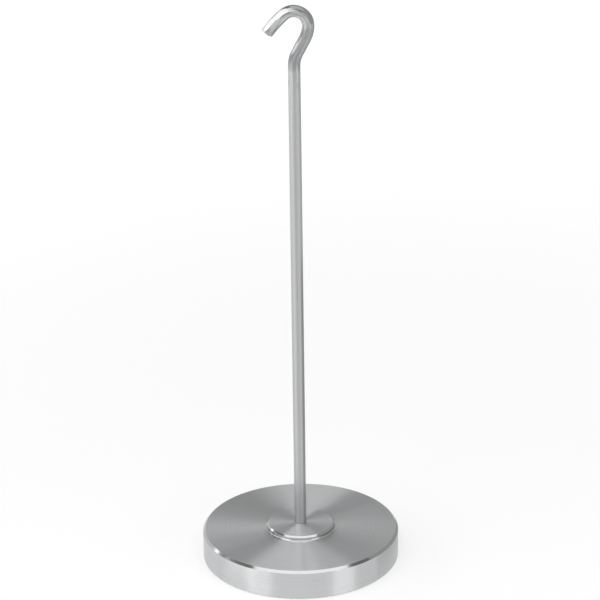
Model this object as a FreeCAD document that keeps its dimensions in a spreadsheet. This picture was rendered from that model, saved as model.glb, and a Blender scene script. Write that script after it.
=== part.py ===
"""Weight hanger for slotted weights: a hooked rod that stands in a heavy turned disc.

Millimetres, +Z up. The origin is the centre of the disc's underside, on the rod's axis.
The hook lies in the XZ plane, with its tip towards -X.
The rod's foot is turned down to a spigot with an M5 thread. Its shoulder seats on the
disc's centring boss, and a nut on a washer, in a counterbore under the disc, pulls it
tight. The thread is shown by its outside diameter, in the spigot and in the nut alike.
"""

import FreeCAD, Part
import math
import os

import Sketcher
from FreeCAD import Vector

# Driving dimensions: alias, value and meaning. Lengths in millimetres, angles in degrees.
DIMENSIONS = [
    ("base_diameter", 100.0, "disc, outside"),
    ("base_thickness", 15.5, "disc, from its underside to the face that carries the weights"),
    ("base_top_chamfer", 1.2, "disc, upper rim"),
    ("base_bottom_chamfer", 0.8, "disc, lower rim"),
    ("boss_diameter", 34.5, "centring boss that the first weight drops over"),
    ("boss_height", 2.5, "boss, above the disc's face"),
    ("boss_chamfer", 0.8, "boss, rim"),
    ("boss_root_radius", 0.8, "tool nose radius left at the foot of the boss"),
    ("rod_diameter", 6.0, "bright round bar"),
    ("overall_height", 290.0, "underside of the disc to the top of the hook"),
    ("hook_inside_diameter", 7.8, "hook, across the inside of its bend"),
    ("hook_wrap_angle", 131.0, "hook, how far its bend turns from upright"),
    ("arm_bend_radius", 50.0, "easier bend of the arm, on the bar's centre line"),
    ("arm_bend_angle", 14.0, "arm, how far it turns from the hook's bend to its tip"),
    ("neck_angle", 28.0, "lean of the neck between the rod and the hook"),
    ("neck_bend_radius", 13.0, "first bend, on the bar's centre line"),
    ("throat_bend_radius", 14.5, "second bend, on the bar's centre line"),
    ("tip_chamfer", 0.4, "deburred end of the hook"),
    ("thread_diameter", 5.0, "M5 spigot at the rod's foot"),
    ("thread_lead_in", 0.6, "chamfer on the spigot's end"),
    ("bore_diameter", 5.3, "clearance bore through the disc"),
    ("bore_countersink", 0.3, "that bore's lower end; its upper end stays square as the seat"),
    ("counterbore_diameter", 16.0, "room for a socket round the nut"),
    ("counterbore_mouth_chamfer", 0.5, "broken edge of the counterbore"),
    ("table_clearance", 1.0, "spigot's end above the table"),
    ("thread_projection", 0.8, "spigot's end below the nut"),
    ("nut_across_flats", 8.0, "M5 hexagon nut"),
    ("nut_height", 4.7, "M5 hexagon nut"),
    ("nut_corner_angle", 30.0, "slope of the nut's turned corners"),
    ("nut_countersink", 0.4, "lead-in at both ends of the nut's thread"),
    ("washer_diameter", 10.0, "plain washer, outside"),
    ("washer_bore_diameter", 5.3, "plain washer, bore"),
    ("washer_thickness", 1.0, "plain washer"),
    ("washer_edge_chamfer", 0.25, "plain washer, its eased upper rim"),
]

# Sizes that follow from the driving ones, as formulas on the sheet.
ROD_RADIUS = "dims.rod_diameter / 2"
BASE_RADIUS = "dims.base_diameter / 2"
BOSS_RADIUS = "dims.boss_diameter / 2"
BORE_RADIUS = "dims.bore_diameter / 2"
THREAD_RADIUS = "dims.thread_diameter / 2"
COUNTERBORE_RADIUS = "dims.counterbore_diameter / 2"
WASHER_RADIUS = "dims.washer_diameter / 2"
SEAT_Z = "dims.base_thickness + dims.boss_height"
NUT_Z = "dims.table_clearance + dims.thread_projection"
WASHER_Z = f"{NUT_Z} + dims.nut_height"
COUNTERBORE_Z = f"{WASHER_Z} + dims.washer_thickness"
HOOK_RADIUS = "(dims.hook_inside_diameter + dims.rod_diameter) / 2"
HOOK_Z = f"dims.overall_height - {ROD_RADIUS} - {HOOK_RADIUS}"
NUT_CORNER_RADIUS = "dims.nut_across_flats / sqrt(3)"

# Sketcher's own numbers for a sketch's axes and for the points of a line or an arc.
# The origin is the start of the X axis.
X_AXIS, Y_AXIS = range(-1, -3, -1)
ORIGIN = X_AXIS
START, END, CENTRE = range(1, 4)

doc = FreeCAD.newDocument("weight_hanger")


def make_sheet():
    """Writes one row for each driving dimension, with its alias."""
    sheet = doc.addObject("Spreadsheet::Sheet", "dims")
    for row, (alias, value, meaning) in enumerate(DIMENSIONS, start=1):
        sheet.set(f"A{row}", alias)
        sheet.set(f"B{row}", str(value))
        sheet.set(f"C{row}", meaning)
        sheet.setAlias(f"B{row}", alias)
    doc.recompute()
    return sheet


def value_of(obj, formula):
    """The number that a formula on the sheet gives now, for a sketch's first guess."""
    found = obj.evalExpression(formula)
    return float(getattr(found, "Value", found))


def new_body(label):
    """A body whose label names its STEP file."""
    body = doc.addObject("PartDesign::Body", label)
    body.Label = label
    return body


def plane_of(body, role):
    """One of the body's own origin planes."""
    return next(f for f in body.Origin.OriginFeatures if f.Role == role)


def new_sketch(body, name, role):
    sketch = body.newObject("Sketcher::SketchObject", name)
    sketch.AttachmentSupport = [(plane_of(body, role), "")]
    sketch.MapMode = "FlatFace"
    doc.recompute()
    return sketch


def bind(sketch, constraint, name, formula):
    """Adds a constraint with a size and ties that size to the sheet."""
    index = sketch.addConstraint(constraint)
    sketch.renameConstraint(index, name)
    sketch.setExpression(f"Constraints.{name}", formula)


def add_outline(sketch, tag, corners):
    """A closed outline of straight edges. Each corner is a pair of formulas."""
    points = [Vector(value_of(sketch, x), value_of(sketch, y), 0) for x, y in corners]
    edges = [
        sketch.addGeometry(Part.LineSegment(a, b), False)
        for a, b in zip(points, points[1:] + points[:1])
    ]
    for edge, following in zip(edges, edges[1:] + edges[:1]):
        sketch.addConstraint(Sketcher.Constraint("Coincident", edge, END, following, START))
    for number, (edge, point, (x, y)) in enumerate(zip(edges, points, corners)):
        place(sketch, f"{tag}_x{number}", "DistanceX", Y_AXIS, edge, point.x, x)
        place(sketch, f"{tag}_y{number}", "DistanceY", X_AXIS, edge, point.y, y)


def place(sketch, name, kind, axis, edge, guess, formula):
    """Fixes one coordinate of an edge's start: on the axis if it is 0, or else by formula."""
    if formula == "0":
        sketch.addConstraint(Sketcher.Constraint("PointOnObject", edge, START, axis))
    else:
        constraint = Sketcher.Constraint(kind, ORIGIN, START, edge, START, guess)
        bind(sketch, constraint, name, formula)


def revolve(body, kind, name, outlines):
    """Turns outlines of radius and height about the Z axis, to add or to cut."""
    sketch = new_sketch(body, f"{name}_profile", "XZ_Plane")
    for number, corners in enumerate(outlines):
        add_outline(sketch, f"loop{number}", corners)
    feature = body.newObject(kind, name)
    feature.Profile = sketch
    feature.ReferenceAxis = (sketch, ["V_Axis"])
    feature.Angle = 360.0
    doc.recompute()
    return feature


def round_edge(shape, centre, radius):
    """The name of the round edge that lies nearest to this centre and radius."""
    apart = {
        f"Edge{number}": (edge.Curve.Center - centre).Length + abs(edge.Curve.Radius - radius)
        for number, edge in enumerate(shape.Edges, start=1)
        if isinstance(edge.Curve, Part.Circle)
    }
    return min(apart, key=apart.get)


def make_base_disc():
    """The disc and its centring boss, turned from one blank."""
    body = new_body("base_disc")
    turned = revolve(body, "PartDesign::Revolution", "turned_blank", [[
        (BORE_RADIUS, SEAT_Z),
        (f"{BOSS_RADIUS} - dims.boss_chamfer", SEAT_Z),
        (BOSS_RADIUS, f"{SEAT_Z} - dims.boss_chamfer"),
        (BOSS_RADIUS, "dims.base_thickness"),
        (f"{BASE_RADIUS} - dims.base_top_chamfer", "dims.base_thickness"),
        (BASE_RADIUS, "dims.base_thickness - dims.base_top_chamfer"),
        (BASE_RADIUS, "dims.base_bottom_chamfer"),
        (f"{BASE_RADIUS} - dims.base_bottom_chamfer", "0"),
        (f"{COUNTERBORE_RADIUS} + dims.counterbore_mouth_chamfer", "0"),
        (COUNTERBORE_RADIUS, "dims.counterbore_mouth_chamfer"),
        (COUNTERBORE_RADIUS, COUNTERBORE_Z),
        (f"{BORE_RADIUS} + dims.bore_countersink", COUNTERBORE_Z),
        (BORE_RADIUS, f"{COUNTERBORE_Z} + dims.bore_countersink"),
    ]])
    root = Vector(0, 0, value_of(sheet, "dims.base_thickness"))
    edge = round_edge(turned.Shape, root, value_of(sheet, BOSS_RADIUS))
    fillet = body.newObject("PartDesign::Fillet", "boss_root")
    fillet.Base = (turned, [edge])
    fillet.setExpression("Radius", "dims.boss_root_radius")
    return body


def bend_path(body):
    """The bar's centre line, from the boss to the tip. Each stretch is tangent to the next."""
    sketch = new_sketch(body, "centre_line", "XZ_Plane")
    lean = math.radians(value_of(sheet, "dims.neck_angle"))
    wrap = math.radians(value_of(sheet, "dims.hook_wrap_angle"))
    neck_r = value_of(sheet, "dims.neck_bend_radius")
    throat_r = value_of(sheet, "dims.throat_bend_radius")
    hook_r = value_of(sheet, HOOK_RADIUS)
    hook_z = value_of(sheet, HOOK_Z)
    arm_r = value_of(sheet, "dims.arm_bend_radius")
    arm_turn = math.radians(value_of(sheet, "dims.arm_bend_angle"))
    foot_z = value_of(sheet, SEAT_Z)

    # First guesses, worked out down from the hook, whose centre is on the rod's axis.
    leaning = Vector(math.sin(lean), math.cos(lean), 0)
    right_of_lean = Vector(math.cos(lean), -math.sin(lean), 0)
    hook_centre = Vector(0, hook_z, 0)
    throat_centre = Vector(hook_r - throat_r, hook_z, 0)
    neck_top = throat_centre + right_of_lean * throat_r
    sideways = (neck_r + throat_r) * (1 - math.cos(lean))
    neck_length = (hook_r - sideways) / math.sin(lean)
    neck_foot = neck_top - leaning * neck_length
    neck_centre = neck_foot + right_of_lean * neck_r
    rod_foot = Vector(0, foot_z, 0)
    rod_top = Vector(0, neck_centre.y, 0)
    out_of_hook = Vector(math.cos(wrap), math.sin(wrap), 0)
    arm_centre = hook_centre - out_of_hook * (arm_r - hook_r)

    def arc(centre, radius, first, last):
        circle = Part.Circle(centre, Vector(0, 0, 1), radius)
        return sketch.addGeometry(Part.ArcOfCircle(circle, first, last), False)

    def line(start, end):
        return sketch.addGeometry(Part.LineSegment(start, end), False)

    rod = line(rod_foot, rod_top)
    neck_bend = arc(neck_centre, neck_r, math.pi - lean, math.pi)
    neck = line(neck_foot, neck_top)
    throat = arc(throat_centre, throat_r, -lean, 0)
    hook = arc(hook_centre, hook_r, 0, wrap)
    arm = arc(arm_centre, arm_r, wrap, wrap + arm_turn)

    # An arc runs anticlockwise from its start, so the neck's bend is met at its end.
    meetings = [
        (rod, END, neck_bend, END),
        (neck_bend, START, neck, START),
        (neck, END, throat, START),
        (throat, END, hook, START),
        (hook, END, arm, START),
    ]
    for meeting in meetings:
        sketch.addConstraint(Sketcher.Constraint("Tangent", *meeting))
    sketch.addConstraint(Sketcher.Constraint("PointOnObject", rod, START, Y_AXIS))
    sketch.addConstraint(Sketcher.Constraint("Vertical", rod))
    sketch.addConstraint(Sketcher.Constraint("PointOnObject", hook, CENTRE, Y_AXIS))
    sketch.addConstraint(Sketcher.Constraint("Horizontal", hook, CENTRE, hook, START))
    sized = [
        ("foot_z", ("DistanceY", ORIGIN, START, rod, START, foot_z), SEAT_Z),
        ("hook_z", ("DistanceY", ORIGIN, START, hook, CENTRE, hook_z), HOOK_Z),
        ("neck_r", ("Radius", neck_bend, neck_r), "dims.neck_bend_radius"),
        ("throat_r", ("Radius", throat, throat_r), "dims.throat_bend_radius"),
        ("hook_r", ("Radius", hook, hook_r), HOOK_RADIUS),
        ("lean", ("Angle", neck_bend, lean), "dims.neck_angle * 1 deg"),
        ("wrap", ("Angle", hook, wrap), "dims.hook_wrap_angle * 1 deg"),
        ("arm_r", ("Radius", arm, arm_r), "dims.arm_bend_radius"),
        ("arm_turn", ("Angle", arm, arm_turn), "dims.arm_bend_angle * 1 deg"),
    ]
    for name, constraint, formula in sized:
        bind(sketch, Sketcher.Constraint(*constraint), name, formula)
    doc.recompute()
    return sketch, arm


def make_hook_rod():
    """One length of bar, bent to a hook above and turned down to a spigot below."""
    body = new_body("hook_rod")
    path, arm = bend_path(body)

    section = new_sketch(body, "bar_section", "XY_Plane")
    section.setExpression("AttachmentOffset.Base.z", SEAT_Z)
    radius = value_of(sheet, ROD_RADIUS)
    bar = section.addGeometry(Part.Circle(Vector(), Vector(0, 0, 1), radius), False)
    section.addConstraint(Sketcher.Constraint("Coincident", bar, CENTRE, ORIGIN, START))
    bind(section, Sketcher.Constraint("Radius", bar, radius), "bar_r", ROD_RADIUS)

    bent = body.newObject("PartDesign::AdditivePipe", "bent_bar")
    bent.Profile = section
    bent.Spine = (path, [])
    doc.recompute()

    tip_in_sketch = path.getPoint(arm, END)
    tip = Vector(tip_in_sketch.x, 0, tip_in_sketch.y)
    deburred = body.newObject("PartDesign::Chamfer", "deburred_tip")
    deburred.Base = (bent, [round_edge(bent.Shape, tip, radius)])
    deburred.setExpression("Size", "dims.tip_chamfer")
    doc.recompute()

    revolve(body, "PartDesign::Revolution", "threaded_spigot", [[
        ("0", SEAT_Z),
        ("0", "dims.table_clearance"),
        (f"{THREAD_RADIUS} - dims.thread_lead_in", "dims.table_clearance"),
        (THREAD_RADIUS, "dims.table_clearance + dims.thread_lead_in"),
        (THREAD_RADIUS, SEAT_Z),
    ]])
    return body


def make_nut():
    """A hexagon nut with turned corners, modelled on its lower face and then placed."""
    body = new_body("hex_nut")
    sketch = new_sketch(body, "hexagon", "XY_Plane")
    corners = []
    for angle in range(30, 390, 60):
        on_the_y_axis = angle % 180 == 90
        x = "0" if on_the_y_axis else f"{NUT_CORNER_RADIUS} * cos({angle} deg)"
        corners.append((x, f"{NUT_CORNER_RADIUS} * sin({angle} deg)"))
    add_outline(sketch, "hexagon", corners)
    pad = body.newObject("PartDesign::Pad", "hexagon_bar")
    pad.Profile = sketch
    pad.setExpression("Length", "dims.nut_height")
    doc.recompute()

    bore = THREAD_RADIUS
    sink = "dims.nut_countersink"
    height = "dims.nut_height"
    flat = "dims.nut_across_flats / 2"
    past_corner = f"{NUT_CORNER_RADIUS} + {sink}"
    drop = f"({past_corner} - {flat}) * tan(dims.nut_corner_angle * 1 deg)"
    revolve(body, "PartDesign::Groove", "corners_and_thread", [
        [(flat, "0"), (past_corner, drop), (past_corner, "0")],
        [(flat, height), (past_corner, height), (past_corner, f"{height} - {drop}")],
        [
            ("0", "0"),
            (f"{bore} + {sink}", "0"),
            (bore, sink),
            (bore, f"{height} - {sink}"),
            (f"{bore} + {sink}", height),
            ("0", height),
        ],
    ])
    body.setExpression("Placement.Base.z", NUT_Z)
    return body


def make_washer():
    """A plain washer, modelled on its lower face and then placed on the nut."""
    body = new_body("plain_washer")
    bore = "dims.washer_bore_diameter / 2"
    eased = "dims.washer_edge_chamfer"
    revolve(body, "PartDesign::Revolution", "blanked_ring", [[
        (bore, "0"),
        (WASHER_RADIUS, "0"),
        (WASHER_RADIUS, f"dims.washer_thickness - {eased}"),
        (f"{WASHER_RADIUS} - {eased}", "dims.washer_thickness"),
        (bore, "dims.washer_thickness"),
    ]])
    body.setExpression("Placement.Base.z", WASHER_Z)
    return body


def check(bodies):
    """Stops if any feature failed or any piece isn't one valid solid."""
    failed = [o.Name for o in doc.Objects if {"Invalid", "Error"} & set(o.State)]
    if failed:
        raise RuntimeError(f"these features failed: {failed}")
    for body in bodies:
        shape = body.Shape
        if shape.isNull() or not shape.isValid() or len(shape.Solids) != 1:
            raise RuntimeError(f"{body.Label} isn't one valid solid")


sheet = make_sheet()
pieces = [make_base_disc(), make_hook_rod(), make_nut(), make_washer()]
doc.recompute()
check(pieces)

os.makedirs("parts", exist_ok=True)
for piece in pieces:
    piece.Shape.exportStep(f"parts/{piece.Label}.step")
    box = piece.Shape.optimalBoundingBox()
    print(f"{piece.Label}: {piece.Shape.Volume:.1f} mm3, z {box.ZMin:.2f} to {box.ZMax:.2f}")
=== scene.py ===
# %% [markdown]
# This file dresses a weight hanger: a bright steel rod with a hook bent at its top,
# standing in a heavy turned disc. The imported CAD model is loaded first. It is the frame
# that everything else is set against, so its box is noted before anything is added.

# %% The frame
import math

import bmesh
import bpy
from mathutils import Matrix, Vector


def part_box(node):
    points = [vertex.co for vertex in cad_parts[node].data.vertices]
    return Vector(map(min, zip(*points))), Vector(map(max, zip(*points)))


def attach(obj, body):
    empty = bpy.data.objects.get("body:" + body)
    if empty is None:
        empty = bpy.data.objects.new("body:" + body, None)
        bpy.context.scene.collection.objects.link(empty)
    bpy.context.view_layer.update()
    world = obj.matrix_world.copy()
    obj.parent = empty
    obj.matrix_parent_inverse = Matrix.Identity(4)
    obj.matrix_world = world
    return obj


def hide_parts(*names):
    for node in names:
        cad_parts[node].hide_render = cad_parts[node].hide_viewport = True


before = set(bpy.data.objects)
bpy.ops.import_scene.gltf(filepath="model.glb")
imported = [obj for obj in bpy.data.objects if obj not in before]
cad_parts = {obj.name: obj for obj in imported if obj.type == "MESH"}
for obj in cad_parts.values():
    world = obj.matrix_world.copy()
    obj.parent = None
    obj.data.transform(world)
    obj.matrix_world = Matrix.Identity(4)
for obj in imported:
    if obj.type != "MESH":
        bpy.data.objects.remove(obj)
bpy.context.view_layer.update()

MM = 0.001

# %% [markdown]
# The camera stands 1.2 m away and looks down by 22 degrees at a point half way up the rod.
# From so far off, a long lens keeps the rod's sides almost parallel. The photo leans by
# under a degree, so the camera is rolled by that much instead of tilting the object.

# %% The camera
IMAGE_WIDTH = 600
FOCAL_LENGTH_PX = 2428.9
SENSOR_WIDTH_MM = 36.0
ELEVATION = math.radians(21.77)
ROLL = math.radians(-0.79)
DISTANCE = 1200 * MM
AIM = Vector((1.29, 0, 140.19)) * MM


def make_camera():
    forward = Vector((0, math.cos(ELEVATION), -math.sin(ELEVATION)))
    level_right = Vector((1, 0, 0))
    level_up = level_right.cross(forward)
    right = level_right * math.cos(ROLL) + level_up * math.sin(ROLL)
    up = right.cross(forward)
    data = bpy.data.cameras.new("camera")
    data.sensor_width = SENSOR_WIDTH_MM
    data.lens = FOCAL_LENGTH_PX * SENSOR_WIDTH_MM / IMAGE_WIDTH
    camera = bpy.data.objects.new("camera", data)
    turned = Matrix((right, up, -forward)).transposed().to_4x4()
    camera.matrix_world = Matrix.Translation(AIM - forward * DISTANCE) @ turned
    bpy.context.scene.collection.objects.link(camera)
    bpy.context.scene.camera = camera
    print(f"lens {data.lens:.1f} mm, camera {camera.location.z / MM:.0f} mm above the floor")


make_camera()

# %% [markdown]
# Polished metal has almost no colour of its own: it shows what stands around it. So the
# studio is half of the finish. A broad soft light overhead gives a turned disc its two
# bright sectors, one towards the camera and one away from it, and a hard bright line on
# each chamfer. Two panels beside the camera stand as soft bands in the disc's wall, a
# window at the left adds a soft ray across the face, from its front left to its back
# right, and a small panel behind the window gives the chamfers one more bright stretch.
# The bent bar mirrors the room in many directions, so it gets a window and a ceiling of
# its own, which are tied to it once the bar is made. A picture of a studio could light
# all this too, but a panel can be moved by itself until its reflection lies right.

# %% Lights
DISC = (0, 0, 0)
WALL_SIGHT = (0, 0, 0.1)
HOOK = (0, 0, 0.28)


def soft_light(name, place, aim, width, height, radiance, shape="RECTANGLE"):
    """A flat panel that faces the point it is aimed at, as bright as asked all over."""
    data = bpy.data.lights.new(name, "AREA")
    data.shape = shape
    data.size = width
    data.size_y = height
    area = width * height * (math.pi / 4 if shape == "ELLIPSE" else 1)
    data.energy = radiance * math.pi * area
    panel = bpy.data.objects.new(name, data)
    panel.location = place
    panel.rotation_euler = (Vector(aim) - Vector(place)).to_track_quat("-Z", "Y").to_euler()
    bpy.context.scene.collection.objects.link(panel)
    return panel


disc_lights = [
    soft_light("overhead", place=(0, -0.56, 1.2), aim=(0, -0.56, 0),
               width=1.95, height=2.36, radiance=1.28, shape="ELLIPSE"),
    soft_light("left_panel", place=(-1.12, -1.04, 0.3), aim=WALL_SIGHT,
               width=0.75, height=0.8, radiance=1.8),
    soft_light("right_panel", place=(1.13, -1.02, 0.3), aim=WALL_SIGHT,
               width=0.7, height=0.8, radiance=1.85),
    soft_light("left_window", place=(-1.38, -0.3, 0.7), aim=(0, 0, 0.02),
               width=1.2, height=0.55, radiance=1.6),
    soft_light("left_back_panel", place=(-1.165, 0.7, 0.785), aim=DISC,
               width=0.35, height=0.35, radiance=1.6),
]
hook_lights = [
    soft_light("hook_window", place=(-0.65, -0.406, 0.923), aim=HOOK,
               width=3.4, height=1.0, radiance=1.35),
    soft_light("hook_ceiling", place=(0.42, 0, 1.186), aim=HOOK,
               width=1.6, height=1.6, radiance=0.55),
]
print("lights:", [light.name for light in disc_lights + hook_lights])

# %% [markdown]
# A photographer also stands cards beside polished metal, to give it darker sides against a
# white background. Grey ones stand at the hanger's right, from the floor up past the hook,
# and one more lies in front. A white one on the floor at the left brightens a stripe on
# the left of the rod, most of all low down. Lamps couldn't take the grey ones' place,
# because they are darker than the room behind them. So each is a plane with a glow of its
# own. Only reflections show them: neither the camera nor the floor notices them.

# %% Cards
CARD_SIDE = 80 * MM
CARD_LIFT = 2 * MM


def reflected_card(name, corners, glow):
    mesh = bpy.data.meshes.new(name)
    mesh.from_pydata(corners, [], [(0, 1, 2, 3)])
    material = bpy.data.materials.new(name)
    material.use_nodes = True
    shader = material.node_tree.nodes["Principled BSDF"]
    shader.inputs["Base Color"].default_value = (0, 0, 0, 1)
    shader.inputs["Specular IOR Level"].default_value = 0.0
    shader.inputs["Emission Color"].default_value = (glow, glow, glow, 1)
    shader.inputs["Emission Strength"].default_value = 1.0
    mesh.materials.append(material)
    card = bpy.data.objects.new(name, mesh)
    card.visible_camera = False
    card.visible_diffuse = False
    card.visible_shadow = False
    bpy.context.scene.collection.objects.link(card)


def upright_card(name, near, far, low, high, glow):
    """A card that stands at the hanger's right, from near to far in y."""
    outline = [(near, low), (far, low), (far, high), (near, high)]
    reflected_card(name, [(CARD_SIDE, y, z) for y, z in outline], glow)


def floor_card(name, outline, glow):
    """A card that lies a little above the floor."""
    reflected_card(name, [(x, y, CARD_LIFT) for x, y in outline], glow)


upright_card("back_card", near=0.05, far=0.2, low=0, high=0.45, glow=0.45)
upright_card("foot_card", near=-0.03, far=0.05, low=0, high=0.13, glow=0.45)
upright_card("shank_card", near=-0.03, far=0.05, low=0.13, high=0.27, glow=0.8)
upright_card("hook_card", near=-0.12, far=0.05, low=0.27, high=0.38, glow=0.5)
floor_card("front_card", [(-0.9, -1.6), (1.3, -1.6), (0.06, -0.12), (-0.03, -0.12)], glow=0.8)
floor_card("white_card", [(-0.36, -0.315), (-0.045, -0.055), (-0.06, -0.03), (-0.5, -0.142)], glow=1.42)

# %% [markdown]
# This small class lets a formula such as 1 - mask * 0.3 be written as Python, for the
# room as well as for the finishes. Each operator adds the Math node that does it.

# %% Sums on sockets
class Wire:
    """One output socket in a node tree, with operators for values and one node method."""

    def __init__(self, tree, socket=None):
        self.tree = tree
        self.socket = socket

    def node(self, kind, settings=None, inputs=None, output=0):
        """Adds a node. Its settings go first, then the values or links of its sockets."""
        added = self.tree.nodes.new(kind)
        for name, value in (settings or {}).items():
            setattr(added, name, value)
        for name, value in (inputs or {}).items():
            if isinstance(value, Wire):
                self.tree.links.new(value.socket, added.inputs[name])
            else:
                added.inputs[name].default_value = value
        return Wire(self.tree, added.outputs[output])

    def math(self, operation, first, second=0.0):
        return self.node("ShaderNodeMath", {"operation": operation}, {0: first, 1: second})

    def __add__(self, other):
        return self.math("ADD", self, other)

    def __radd__(self, other):
        return self.math("ADD", other, self)

    def __sub__(self, other):
        return self.math("SUBTRACT", self, other)

    def __rsub__(self, other):
        return self.math("SUBTRACT", other, self)

    def __mul__(self, other):
        return self.math("MULTIPLY", self, other)

    def __rmul__(self, other):
        return self.math("MULTIPLY", other, self)

    def __pow__(self, other):
        return self.math("POWER", self, other)


# %% [markdown]
# The room around the lights is plain grey: light near the horizon, where the walls catch
# the light, and dark overhead. A picture of a real room could be used, but two greys and a
# smooth step between them are enough, and they are easy to change. The dark ceiling is
# what sets off the bright sectors on the disc.

# %% The room
WALL_GREY = 0.84
CEILING_GREY = 0.22
WALL_TOP = 0.3
CEILING_EDGE = 0.62


def smooth(start, value, low, high):
    """Rises smoothly from 0 to 1 as the value goes from low to high."""
    settings = {"interpolation_type": "SMOOTHSTEP"}
    inputs = {"Value": value, "From Min": low, "From Max": high}
    return start.node("ShaderNodeMapRange", settings, inputs)


def split(start, place):
    """The x, y and z of a place or a direction."""
    made = start.node("ShaderNodeSeparateXYZ", None, {0: place})
    return [Wire(start.tree, socket) for socket in made.socket.node.outputs]


def make_room():
    world = bpy.data.worlds.new("grey_room")
    bpy.context.scene.world = world
    world.use_nodes = True
    start = Wire(world.node_tree)
    direction = start.node("ShaderNodeTexCoord", output="Generated")
    height = split(start, direction)[2]
    up = smooth(start, height, WALL_TOP, CEILING_EDGE)
    grey = WALL_GREY + up * (CEILING_GREY - WALL_GREY)
    background = world.node_tree.nodes["Background"]
    world.node_tree.links.new(grey.socket, background.inputs["Color"])


make_room()
bpy.context.scene.view_settings.view_transform = "Standard"
print(f"room: walls {WALL_GREY}, ceiling {CEILING_GREY}")

# %% [markdown]
# All the finishes here are bare metal, so they start alike: fully metallic, with a grain
# whose strength and direction are the same all over. What varies over a surface is its
# colour, its roughness and a fine relief. The relief goes through a Bump node, because
# scratches this fine would need millions of faces.

# %% A bare metal
def new_finish(name, anisotropy, turn):
    """A bare metal. Its grain's strength and direction are the same all over."""
    material = bpy.data.materials.new(name)
    material.use_nodes = True
    shader = material.node_tree.nodes["Principled BSDF"]
    shader.inputs["Metallic"].default_value = 1.0
    shader.inputs["Anisotropic"].default_value = anisotropy
    shader.inputs["Anisotropic Rotation"].default_value = turn
    return material, shader, Wire(material.node_tree)


def connect(shader, colour, roughness, relief, depth):
    """Feeds what varies over the surface to the shader. Depth is the relief's, in metres."""
    bump = relief.node("ShaderNodeBump", None, {"Height": relief, "Distance": depth})
    links = relief.tree.links
    links.new(colour.socket, shader.inputs["Base Color"])
    links.new(roughness.socket, shader.inputs["Roughness"])
    links.new(bump.socket, shader.inputs["Normal"])


# %% [markdown]
# Three small helpers serve the finishes: noise along a line, noise in space, and a colour
# between two others. Noise is used instead of a picture, because it has no seam
# and can be made as fine as the surface needs.

# %% Noise and colour
FINE_DETAIL = 3.0


def noise_along(start, distance, scale, detail=2.0):
    """A value from 0 to 1 that varies along one coordinate, scale times a metre."""
    settings = {"noise_dimensions": "1D"}
    inputs = {"W": distance, "Scale": scale, "Detail": detail}
    return start.node("ShaderNodeTexNoise", settings, inputs, "Fac")


def noise_in(start, place, scale, detail=2.0):
    """The same in three dimensions."""
    inputs = {"Vector": place, "Scale": scale, "Detail": detail}
    return start.node("ShaderNodeTexNoise", None, inputs, "Fac")


def between(start, factor, first, second):
    """A colour between two, by a factor from 0 to 1."""
    settings = {"data_type": "RGBA"}
    first, second = [c if isinstance(c, Wire) else (*c, 1) for c in (first, second)]
    inputs = {"Factor": factor, 6: first, 7: second}
    return start.node("ShaderNodeMix", settings, inputs, 2)


# %% [markdown]
# The disc is turned on a lathe. The tool leaves a fine groove that runs round and round,
# on the face, on the rims and up the wall. One coordinate grows steadily across all of
# them: the distance from the axis less 1.3 times the height. Noise along it makes rings.
# The grooves also stretch each reflection across themselves, which is anisotropy.

# %% The turned finish
GROOVE_SLOPE = 1.3
TURNED_ANISOTROPY = 1.0
QUARTER_TURN = 0.25
TURNED_DARK = (0.58, 0.59, 0.595)
TURNED_LIGHT = (0.67, 0.68, 0.685)
TURNED_ROUGHNESS = 0.27
TURNED_RELIEF = 0.0006 * MM
GROOVE_SCALE = 9000
BAND_SCALE = 900
TOUCH_SCALE = 40


def turned_finish(name):
    material, shader, start = new_finish(name, TURNED_ANISOTROPY, QUARTER_TURN)
    place = start.node("ShaderNodeTexCoord", output="Object")
    x, y, z = split(start, place)
    radius = (x * x + y * y) ** 0.5
    across = radius - z * GROOVE_SLOPE
    groove = noise_along(start, across, GROOVE_SCALE, FINE_DETAIL)
    band = noise_along(start, across, BAND_SCALE)
    handling = noise_in(start, place, TOUCH_SCALE, FINE_DETAIL)
    colour = between(start, band, TURNED_DARK, TURNED_LIGHT)
    roughness = TURNED_ROUGHNESS + groove * 0.08 + band * 0.05 + handling * 0.05
    connect(shader, colour, roughness, groove + band * 2.0, TURNED_RELIEF)
    return material


TURNED = turned_finish("turned_steel")
print("made the finish", TURNED.name)

# %% [markdown]
# The chamfers and the boss look as if they were turned last, with a fresh tool and a fine
# feed. They are almost mirrors, and show the lights as crisp bright and dark stretches.
# They are faces of the same piece with a finish of their own.

# %% The bright edges
EDGE_ANISOTROPY = 0.5
EDGE_DARK = (0.5, 0.508, 0.512)
EDGE_LIGHT = (0.58, 0.588, 0.592)
EDGE_ROUGHNESS = 0.09
EDGE_RELIEF = 0.004 * MM
SMEAR_SCALE = 90
NICK_SCALE = 700


def edge_finish(name):
    material, shader, start = new_finish(name, EDGE_ANISOTROPY, QUARTER_TURN)
    place = start.node("ShaderNodeTexCoord", output="Object")
    handling = noise_in(start, place, SMEAR_SCALE, FINE_DETAIL)
    nick = noise_in(start, place, NICK_SCALE, FINE_DETAIL)
    colour = between(start, handling, EDGE_DARK, EDGE_LIGHT)
    roughness = EDGE_ROUGHNESS + handling * 0.08
    connect(shader, colour, roughness, nick, EDGE_RELIEF)
    return material


BRIGHT_EDGE = edge_finish("bright_edge")
print("made the finish", BRIGHT_EDGE.name)
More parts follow.
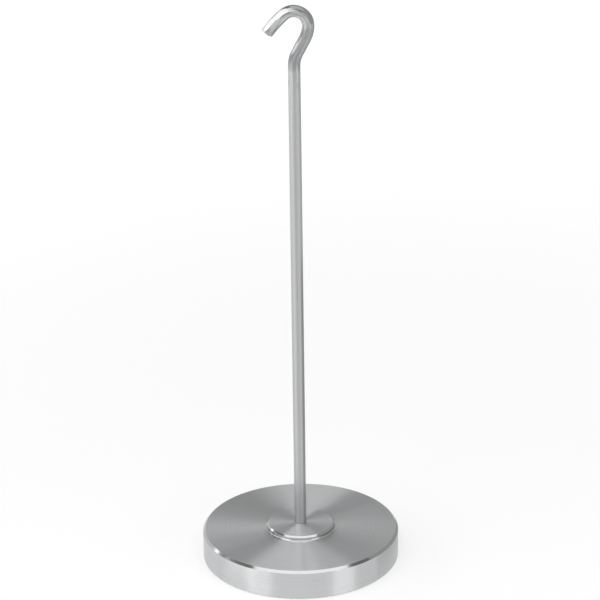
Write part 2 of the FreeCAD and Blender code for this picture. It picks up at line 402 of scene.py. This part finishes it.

# %% [markdown]
# The rod is bright drawn bar. The die leaves faint straight scratches along its length,
# and they stay along it where the bar is bent. So the bar's mesh carries the coordinates
# that it had before it was bent, and the noise is stretched along them. The hook is
# smoother than the rod and has short dark strokes. Its colour is painted darker on the
# neck, most of all in one band across it, as painted shade for the dark reflections there,
# and painted lighter on the arm, as a painted highlight. So the colour is put together in
# steps, each over a span of the bar's length.

# %% The drawn finish
DRAWN_ANISOTROPY = 0.35
DRAWN_DARK = (0.42, 0.425, 0.43)
DRAWN_LIGHT = (0.54, 0.545, 0.545)
DRAWN_ROUGHNESS = 0.26
DRAWN_RELIEF = 0.002 * MM
UNBENT = "unbent"
SCRATCH_STRETCH = (1, 1, 0.006)
SCRATCH_SCALE = 3500
STREAK_SCALE = 900
PATCH_SCALE = 120
BEND_START = 235 * MM
BEND_END = 262 * MM
BEND_SMOOTHNESS = 0.14
STROKE_STRETCH = (1, 1, 0.12)
STROKE_SCALE = 1100
STROKE_FROM = 0.5
STROKE_FULL = 0.66
# The dark of the strokes, also used for the painted shade on the neck
STROKE_AND_SHADE_DARK = (0.29, 0.295, 0.3)
# The arm's lighter colour is a painted highlight
ARM_PAINTED_HIGHLIGHT = (0.58, 0.585, 0.585)
ARM_START = 286 * MM
ARM_FULL = 296 * MM
# The neck and one band across it are painted darker: painted shade, not a mark on the bar
NECK_SPAN = (256 * MM, 262 * MM, 279 * MM, 284 * MM)
NECK_PAINTED_SHADE = 0.45
DARK_BAND_SPAN = (257 * MM, 260 * MM, 263 * MM, 267 * MM)
DARK_BAND_PAINTED_SHADE = 0.3


def stretch(start, place, by):
    """A place with its coordinates multiplied, which draws noise out along one of them."""
    return start.node("ShaderNodeVectorMath", {"operation": "MULTIPLY"}, {0: place, 1: by})


def span(start, value, limits):
    """1 between the two middle limits, and fading to 0 at the outer two."""
    low, low_full, high_full, high = limits
    return smooth(start, value, low, low_full) * (1 - smooth(start, value, high_full, high))


def drawn_finish(name):
    material, shader, start = new_finish(name, DRAWN_ANISOTROPY, 0.0)
    place = start.node("ShaderNodeAttribute", {"attribute_name": UNBENT}, output="Vector")
    drawn_out = stretch(start, place, SCRATCH_STRETCH)
    scratch = noise_in(start, drawn_out, SCRATCH_SCALE, FINE_DETAIL)
    streak = noise_in(start, drawn_out, STREAK_SCALE)
    patch = noise_in(start, place, PATCH_SCALE, FINE_DETAIL)
    length = split(start, place)[2]
    bent = smooth(start, length, BEND_START, BEND_END)
    bar_colour = between(start, streak, DRAWN_DARK, DRAWN_LIGHT)
    # Painted highlight: the arm's colour is lightened along its span
    arm_highlight = smooth(start, length, ARM_START, ARM_FULL)
    with_arm_highlight = between(start, arm_highlight, bar_colour, ARM_PAINTED_HIGHLIGHT)
    dab = noise_in(start, stretch(start, place, STROKE_STRETCH), STROKE_SCALE)
    stroke = bent * smooth(start, dab, STROKE_FROM, STROKE_FULL)
    stroked = between(start, stroke, with_arm_highlight, STROKE_AND_SHADE_DARK)
    # Painted shade: the neck and one band across it are darkened towards the strokes' dark
    neck = span(start, length, NECK_SPAN) * NECK_PAINTED_SHADE
    painted_shade = neck + span(start, length, DARK_BAND_SPAN) * DARK_BAND_PAINTED_SHADE
    colour = between(start, painted_shade, stroked, STROKE_AND_SHADE_DARK)
    roughness = DRAWN_ROUGHNESS + scratch * 0.1 + patch * 0.08 - bent * BEND_SMOOTHNESS
    connect(shader, colour, roughness, scratch + streak + patch * 0.5, DRAWN_RELIEF)
    return material


DRAWN = drawn_finish("bright_bar")
print("made the finish", DRAWN.name)

# %% [markdown]
# Nuts and washers are bought in. Most are pressed and tumbled, so they have no grain.
# Their faces are a little uneven, which noise in space gives without a seam.

# %% The fasteners' finish
FASTENER_DARK = (0.5, 0.5, 0.495)
FASTENER_LIGHT = (0.6, 0.6, 0.59)
FASTENER_ROUGHNESS = 0.26
FASTENER_RELIEF = 0.01 * MM
DIMPLE_SCALE = 900
CLOUD_SCALE = 250


def fastener_finish(name):
    material, shader, start = new_finish(name, 0.0, 0.0)
    place = start.node("ShaderNodeTexCoord", output="Object")
    dimple = noise_in(start, place, DIMPLE_SCALE, FINE_DETAIL)
    cloud = noise_in(start, place, CLOUD_SCALE)
    colour = between(start, cloud, FASTENER_DARK, FASTENER_LIGHT)
    roughness = FASTENER_ROUGHNESS + dimple * 0.14
    connect(shader, colour, roughness, dimple + cloud, FASTENER_RELIEF)
    return material


FASTENER = fastener_finish("fastener_steel")
print("made the finish", FASTENER.name)

# %% [markdown]
# All four pieces are skins stretched over a row of rings, so one function makes them.
# A turned piece is an outline carried round the axis, and the bar is a circle carried
# along a path. A Screw modifier and a bevelled curve could do both, but here each ring can
# be changed by itself, which the threads, the nut's corners and the bar's tip need.

# %% Rings
SHARP_EDGE = math.radians(35)


def make_skin(name, rings, material, node, closed_row=False, caps=()):
    """Joins rings of equally many points with quads. Caps are the rows to fill in.

    Outlines carried round the axis wind the other way from circles along a path.
    """
    size = len(rings[0])
    points = [point for ring in rings for point in ring]
    faces = []
    pairs = len(rings) if closed_row else len(rings) - 1
    for row in range(pairs):
        first = row * size
        second = (row + 1) % len(rings) * size
        for step in range(size):
            after = (step + 1) % size
            corners = (first + step, first + after, second + after, second + step)
            faces.append(corners[::-1] if closed_row else corners)
    for row, backwards in caps:
        cap = list(range(row * size, row * size + size))
        faces.append(cap[::-1] if backwards else cap)
    mesh = bpy.data.meshes.new(name)
    mesh.from_pydata(points, [], faces)
    mesh.materials.append(material)
    mesh.shade_smooth()
    mesh.set_sharp_from_angle(angle=SHARP_EDGE)
    piece = bpy.data.objects.new(name, mesh)
    bpy.context.scene.collection.objects.link(piece)
    flats_first = piece.modifiers.new("flat faces stay flat", "WEIGHTED_NORMAL")
    flats_first.keep_sharp = True
    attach(piece, "root")
    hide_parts(node)
    solid = bmesh.new()
    solid.from_mesh(mesh)
    print(f"{name}: {len(mesh.polygons)} faces, {solid.calc_volume(signed=True) / MM ** 3:.0f} mm3")
    solid.free()
    return piece


# %% [markdown]
# An outline is given by its corners, each with the radius of its rounding. No real edge is
# perfectly sharp, and it is the thin highlight on an edge that shows it. A Bevel modifier
# could round them too, but here each corner has a radius of its own.

# %% Outlines
CORNER_STEPS = 5


def soften(outline):
    """Rounds each corner (across, up, radius) of a closed outline that has a radius."""
    count = len(outline)
    softened = []
    for number, (across, up, radius) in enumerate(outline):
        corner = Vector((across, up))
        if radius == 0:
            softened.append(corner)
            continue
        before = Vector(outline[number - 1][:2]) - corner
        after = Vector(outline[(number + 1) % count][:2]) - corner
        reach = radius / math.tan(before.angle(after) / 2)
        start = corner + before.normalized() * reach
        end = corner + after.normalized() * reach
        for step in range(CORNER_STEPS + 1):
            part = step / CORNER_STEPS
            inner = start.lerp(corner, part).lerp(corner.lerp(end, part), part)
            softened.append(inner)
    return softened


def turn_round(outline, sides):
    """Carries a closed outline of (radius, height) round the Z axis."""
    rings = []
    for side in range(sides):
        angle = 2 * math.pi * side / sides
        ring = [(p.x * math.cos(angle), p.x * math.sin(angle), p.y) for p in outline]
        rings.append(ring)
    return rings


# %% [markdown]
# The disc and its centring boss are one turned blank. The first slotted weight drops over
# the boss, and the tool that turned it left a small radius at its foot. Both rims are
# chamfered. Underneath, a counterbore takes the nut and washer, clear of the table. Two
# cylinders joined by a boolean would do for the form, but one outline keeps the mesh
# clean. The main sizes come from the frame.

# %% The disc
disc_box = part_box("base_disc")
DISC_RADIUS = disc_box[1][0]
BOSS_TOP = disc_box[1][2]
BOSS_HEIGHT = 2.5 * MM
FACE = BOSS_TOP - BOSS_HEIGHT
BOSS_RADIUS = 17.25 * MM
BOSS_CHAMFER = 0.8 * MM
BOSS_ROOT = 0.8 * MM
TOP_CHAMFER = 1.2 * MM
BOTTOM_CHAMFER = 0.8 * MM
BORE_RADIUS = 2.65 * MM
COUNTERBORE_RADIUS = 8 * MM
COUNTERBORE_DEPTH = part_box("plain_washer")[1][2]
MOUTH_CHAMFER = 0.5 * MM
BORE_COUNTERSINK = 0.3 * MM
EDGE = 0.12 * MM
BORE_EDGE = 0.05 * MM
DISC_SIDES = 384

disc_outline = soften([
    (BORE_RADIUS, BOSS_TOP, BORE_EDGE),
    (BORE_RADIUS, COUNTERBORE_DEPTH + BORE_COUNTERSINK, 0),
    (BORE_RADIUS + BORE_COUNTERSINK, COUNTERBORE_DEPTH, 0),
    (COUNTERBORE_RADIUS, COUNTERBORE_DEPTH, EDGE),
    (COUNTERBORE_RADIUS, MOUTH_CHAMFER, EDGE),
    (COUNTERBORE_RADIUS + MOUTH_CHAMFER, 0, EDGE),
    (DISC_RADIUS - BOTTOM_CHAMFER, 0, EDGE),
    (DISC_RADIUS, BOTTOM_CHAMFER, EDGE),
    (DISC_RADIUS, FACE - TOP_CHAMFER, EDGE),
    (DISC_RADIUS - TOP_CHAMFER, FACE, EDGE),
    (BOSS_RADIUS, FACE, BOSS_ROOT),
    (BOSS_RADIUS, BOSS_TOP - BOSS_CHAMFER, EDGE),
    (BOSS_RADIUS - BOSS_CHAMFER, BOSS_TOP, EDGE),
])
disc_rings = turn_round(disc_outline, DISC_SIDES)
disc = make_skin("turned_disc", disc_rings, TURNED, "base_disc", closed_row=True)

# %% [markdown]
# The bright finish goes on faces of the disc's own mesh, as a second material. Separate
# rings laid over the edges would work too, but they would flicker against the disc.

# %% The disc's bright faces
FLAT_LIMIT = 0.98
WALL_LIMIT = 0.1


def brighten_edges(piece):
    """Gives the bright finish to the upper rim, and to the boss's rim, wall and foot."""
    piece.data.materials.append(BRIGHT_EDGE)
    bright = 0
    for face in piece.data.polygons:
        x, y, z = face.center
        radius = math.hypot(x, y)
        flat = abs(face.normal.z) > FLAT_LIMIT
        on_boss = z > FACE and radius > BOSS_RADIUS / 2
        on_rim = radius > DISC_RADIUS - TOP_CHAMFER and face.normal.z > WALL_LIMIT
        if not flat and (on_boss or on_rim):
            face.material_index = 1
            bright += 1
    print("bright faces:", bright)


brighten_edges(disc)

# %% [markdown]
# The foot of the rod is turned down and threaded M5. A thread is a groove that climbs by
# one pitch in each turn, so its radius depends on the height and the angle together. The
# nut uses the same formula a hair further out, and so the two threads fit each other. A
# spiral wound round a plain pin would look the same, but it would be a skin inside a skin.

# %% The thread
THREAD_RADIUS = 2.5 * MM
THREAD_PITCH = 0.8 * MM
THREAD_DEPTH = 0.49 * MM
CREST_SHARE = 0.125
FLANK_SHARE = 0.3125
ROWS_PER_PITCH = 10


def thread_radius(angle, height):
    """Crest for an eighth of the pitch, then a flank down, the root and a flank up."""
    turn = (height / THREAD_PITCH - angle / (2 * math.pi)) % 1
    from_crest = max(0, abs(turn - 0.5) - CREST_SHARE / 2)
    return THREAD_RADIUS - THREAD_DEPTH * min(1, from_crest / FLANK_SHARE)


print(f"thread: pitch {THREAD_PITCH / MM:.1f} mm, depth {THREAD_DEPTH / MM:.2f} mm")

# %% [markdown]
# The bar is followed like a walk: so far straight on, then a bend of some radius through
# some angle. Right is a negative turn and left a positive one. Two lengths are worked out
# instead of chosen, so that the hook ends up centred over the rod at the right height. A
# freehand curve would be quicker, but its bends aren't the true arcs that a bender makes.

# %% The bar's path
ROD_RADIUS = 3 * MM
TOP = 290 * MM
HOOK_RADIUS = 6.9 * MM
NECK_RADIUS = 13 * MM
THROAT_RADIUS = 14.5 * MM
ARM_RADIUS = 50 * MM
NECK_LEAN = math.radians(28)
HOOK_WRAP = math.radians(131)
ARM_TURN = math.radians(14)
BEND_STEP = math.radians(2.5)

hook_height = TOP - ROD_RADIUS - HOOK_RADIUS
bend_sideways = (NECK_RADIUS + THROAT_RADIUS) * (1 - math.cos(NECK_LEAN))
neck_length = (HOOK_RADIUS - bend_sideways) / math.sin(NECK_LEAN)
bend_height = (NECK_RADIUS + THROAT_RADIUS) * math.sin(NECK_LEAN)
shank_length = hook_height - BOSS_TOP - bend_height - neck_length * math.cos(NECK_LEAN)

walk = [
    ("straight", shank_length),
    ("bend", NECK_RADIUS, -NECK_LEAN),
    ("straight", neck_length),
    ("bend", THROAT_RADIUS, NECK_LEAN),
    ("bend", HOOK_RADIUS, HOOK_WRAP),
    ("bend", ARM_RADIUS, ARM_TURN),
]


def follow(steps, place):
    """Stations along the walk: the place, the heading to the left of upright, the length."""
    heading = 0.0
    length = 0.0
    stations = [(place, heading, length)]
    for step in steps:
        if step[0] == "straight":
            parts, turn = 1, 0.0
            stride = step[1]
        else:
            parts = math.ceil(abs(step[2]) / BEND_STEP)
            turn = step[2] / parts
            stride = 2 * step[1] * math.sin(abs(turn) / 2)
        for part in range(parts):
            along = heading + turn / 2
            place = place + Vector((-math.sin(along), 0, math.cos(along))) * stride
            heading += turn
            length += stride
            stations.append((place, heading, length))
    return stations


stations = follow(walk, Vector((0, 0, BOSS_TOP)))
print(f"shank {shank_length / MM:.1f} mm, neck {neck_length / MM:.1f} mm, "
      f"bar {stations[-1][2] / MM:.1f} mm to its tip")

# %% [markdown]
# Each station gets one ring of the bar. The last few rings draw in for the deburred edge
# of the tip. Below the boss the rings follow the thread down to its chamfered end.

# %% The rod and its hook
BAR_SIDES = 64
# For each of the tip's last rings, in mm: how far back from the end it lies, and its radius
TIP_STEPS = [(0.55, 3.0), (0.42, 2.97), (0.06, 2.65), (0.0, 2.52), (0.0, 1.2)]
SHOULDER_EDGE = 0.08 * MM
THREAD_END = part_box("hook_rod")[0][2]
THREAD_LEAD_IN = 0.6 * MM


def bar_ring(place, heading, radius):
    """A ring square to the path. Its first point is on the outside of the hook."""
    sideways = Vector((math.cos(heading), 0, math.sin(heading)))
    ring = []
    for side in range(BAR_SIDES):
        angle = 2 * math.pi * side / BAR_SIDES
        outward = sideways * math.cos(angle) + Vector((0, math.sin(angle), 0))
        ring.append(place + outward * radius)
    return ring


def thread_ring(height):
    """A ring of the thread, drawn in where the end is chamfered."""
    limit = THREAD_RADIUS - max(0, THREAD_LEAD_IN - (height - THREAD_END))
    ring = []
    for side in range(BAR_SIDES):
        angle = 2 * math.pi * side / BAR_SIDES
        radius = min(limit, thread_radius(angle, height))
        ring.append(Vector((radius * math.cos(angle), radius * math.sin(angle), height)))
    return ring


def make_bar():
    rows = math.ceil((BOSS_TOP - THREAD_END) / THREAD_PITCH * ROWS_PER_PITCH)
    heights = [THREAD_END + (BOSS_TOP - THREAD_END) * row / rows for row in range(rows + 1)]
    rings = [thread_ring(height) for height in heights]
    lengths = list(heights)
    foot = Vector((0, 0, BOSS_TOP))
    rings.append(bar_ring(foot, 0, ROD_RADIUS - SHOULDER_EDGE))
    rings.append(bar_ring(foot + Vector((0, 0, SHOULDER_EDGE)), 0, ROD_RADIUS))
    lengths += [BOSS_TOP, BOSS_TOP + SHOULDER_EDGE]
    for place, heading, length in stations[1:-1]:
        rings.append(bar_ring(place, heading, ROD_RADIUS))
        lengths.append(BOSS_TOP + length)
    tip, heading, length = stations[-1]
    forward = Vector((-math.sin(heading), 0, math.cos(heading)))
    for back, radius in TIP_STEPS:
        rings.append(bar_ring(tip - forward * back * MM, heading, radius * MM))
        lengths.append(BOSS_TOP + length - back * MM)
    caps = [(0, True), (len(rings) - 1, False)]
    piece = make_skin("hooked_rod", rings, DRAWN, "hook_rod", caps=caps)
    unbent = piece.data.attributes.new(UNBENT, "FLOAT_VECTOR", "POINT")
    for row, length in enumerate(lengths):
        for side in range(BAR_SIDES):
            angle = 2 * math.pi * side / BAR_SIDES
            straight = (ROD_RADIUS * math.cos(angle), ROD_RADIUS * math.sin(angle), length)
            unbent.data[row * BAR_SIDES + side].vector = straight
    return piece


bar = make_bar()

# %% [markdown]
# Light linking says which pieces a light reaches. The bar's own two lights reach only the
# bar, and the disc's lights reach everything but the bar. Real lamps can't do this, so it
# is a liberty. It is taken because no one set of lights that was tried suited both.

# %% Which light reaches what
def link_lights(lights, piece, state):
    """Lights that reach only this piece (INCLUDE), or everything but it (EXCLUDE)."""
    receivers = bpy.data.collections.new(f"{piece.name} {state.lower()}")
    receivers.objects.link(piece)
    receivers.collection_objects[0].light_linking.link_state = state
    for light in lights:
        light.light_linking.receiver_collection = receivers


link_lights(hook_lights, bar, "INCLUDE")
link_lights(disc_lights, bar, "EXCLUDE")
print(f"{len(hook_lights)} lights for the bar, {len(disc_lights)} for all the rest")

# %% [markdown]
# The nut is seen only from below. It is still a real hexagon nut: at each angle its wall
# is as far out as the flat there, and a cone turned on both ends trims the six corners.
# A six-sided cylinder would be simpler, but it lacks the curve that this cuts on each flat.

# %% The nut
nut_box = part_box("hex_nut")
NUT_BOTTOM = nut_box[0][2]
NUT_HEIGHT = nut_box[1][2] - NUT_BOTTOM
HALF_FLATS = nut_box[1][0]
NUT_FACE_RADIUS = 0.97 * HALF_FLATS
CORNER_SLOPE = math.tan(math.radians(30))
NUT_COUNTERSINK = 0.4 * MM
THREAD_CLEARANCE = 0.03 * MM
NUT_SIDES = 96
SIXTH = math.pi / 3


def nut_ring(angle):
    """The outline of the nut at one angle, up its wall and down its thread."""
    from_flat = (angle + SIXTH / 2) % SIXTH - SIXTH / 2
    wall = HALF_FLATS / math.cos(from_flat)
    drop = (wall - NUT_FACE_RADIUS) * CORNER_SLOPE
    mouth = THREAD_RADIUS + THREAD_CLEARANCE
    outline = [
        (mouth, 0),
        (NUT_FACE_RADIUS, 0),
        (wall, drop),
        (wall, NUT_HEIGHT - drop),
        (NUT_FACE_RADIUS, NUT_HEIGHT),
        (mouth, NUT_HEIGHT),
    ]
    rows = math.ceil((NUT_HEIGHT - 2 * NUT_COUNTERSINK) / THREAD_PITCH * ROWS_PER_PITCH)
    for row in range(rows + 1):
        height = NUT_HEIGHT - NUT_COUNTERSINK - (NUT_HEIGHT - 2 * NUT_COUNTERSINK) * row / rows
        bore = thread_radius(angle, NUT_BOTTOM + height) + THREAD_CLEARANCE
        outline.append((bore, height))
    turned = [(radius * math.cos(angle), radius * math.sin(angle), NUT_BOTTOM + height)
              for radius, height in outline]
    return turned


nut_rings = [nut_ring(2 * math.pi * side / NUT_SIDES) for side in range(NUT_SIDES)]
make_skin("nut", nut_rings, FASTENER, "hex_nut", closed_row=True)

# %% [markdown]
# A washer is punched out of sheet. The punch rounds the edges on the side that it enters
# and leaves the other side crisp, so the radii of its outline differ. It is carried round
# the axis like the disc.

# %% The washer
washer_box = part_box("plain_washer")
WASHER_RADIUS = washer_box[1][0]
WASHER_BORE = 2.65 * MM
PUNCHED_EDGE = 0.25 * MM
CRISP_EDGE = 0.05 * MM
WASHER_SIDES = 128

washer_outline = soften([
    (WASHER_BORE, washer_box[1][2], PUNCHED_EDGE),
    (WASHER_BORE, washer_box[0][2], CRISP_EDGE),
    (WASHER_RADIUS, washer_box[0][2], CRISP_EDGE),
    (WASHER_RADIUS, washer_box[1][2], PUNCHED_EDGE),
])
washer_rings = turn_round(washer_outline, WASHER_SIDES)
make_skin("washer", washer_rings, FASTENER, "plain_washer", closed_row=True)

# %% [markdown]
# The floor is a plain pale sheet that runs far past the camera's view. It is stage, not
# part of the hanger, and it lies a hair under the disc so that the two don't flicker. It
# glows a little, more so far away, as a backdrop does that has lights of its own. That
# keeps it white in the picture without more light on the metal.

# %% The floor
FLOOR_HALF = 6.0
FLOOR_DROP = 0.05 * MM
FLOOR_GREY = 0.45
FLOOR_ROUGHNESS = 0.9
NEAR_GLOW = 0.56
FAR_GLOW = 0.84
NEAR_EDGE = 0.15
FAR_EDGE = 1.2


def make_floor():
    mesh = bpy.data.meshes.new("floor")
    corners = [(-FLOOR_HALF, -FLOOR_HALF), (FLOOR_HALF, -FLOOR_HALF),
               (FLOOR_HALF, FLOOR_HALF), (-FLOOR_HALF, FLOOR_HALF)]
    mesh.from_pydata([(x, y, -FLOOR_DROP) for x, y in corners], [], [(0, 1, 2, 3)])
    material = bpy.data.materials.new("pale_floor")
    material.use_nodes = True
    shader = material.node_tree.nodes["Principled BSDF"]
    shader.inputs["Base Color"].default_value = (FLOOR_GREY, FLOOR_GREY, FLOOR_GREY, 1)
    shader.inputs["Roughness"].default_value = FLOOR_ROUGHNESS
    shader.inputs["Specular IOR Level"].default_value = 0.0
    shader.inputs["Emission Strength"].default_value = 1.0
    start = Wire(material.node_tree)
    x, y = split(start, start.node("ShaderNodeTexCoord", output="Object"))[:2]
    away = smooth(start, (x * x + y * y) ** 0.5, NEAR_EDGE, FAR_EDGE)
    glow = NEAR_GLOW + away * (FAR_GLOW - NEAR_GLOW)
    material.node_tree.links.new(glow.socket, shader.inputs["Emission Color"])
    mesh.materials.append(material)
    floor = bpy.data.objects.new("floor", mesh)
    bpy.context.scene.collection.objects.link(floor)


make_floor()
print(f"floor: {2 * FLOOR_HALF:.0f} m square, {FLOOR_DROP / MM:.2f} mm under the disc")
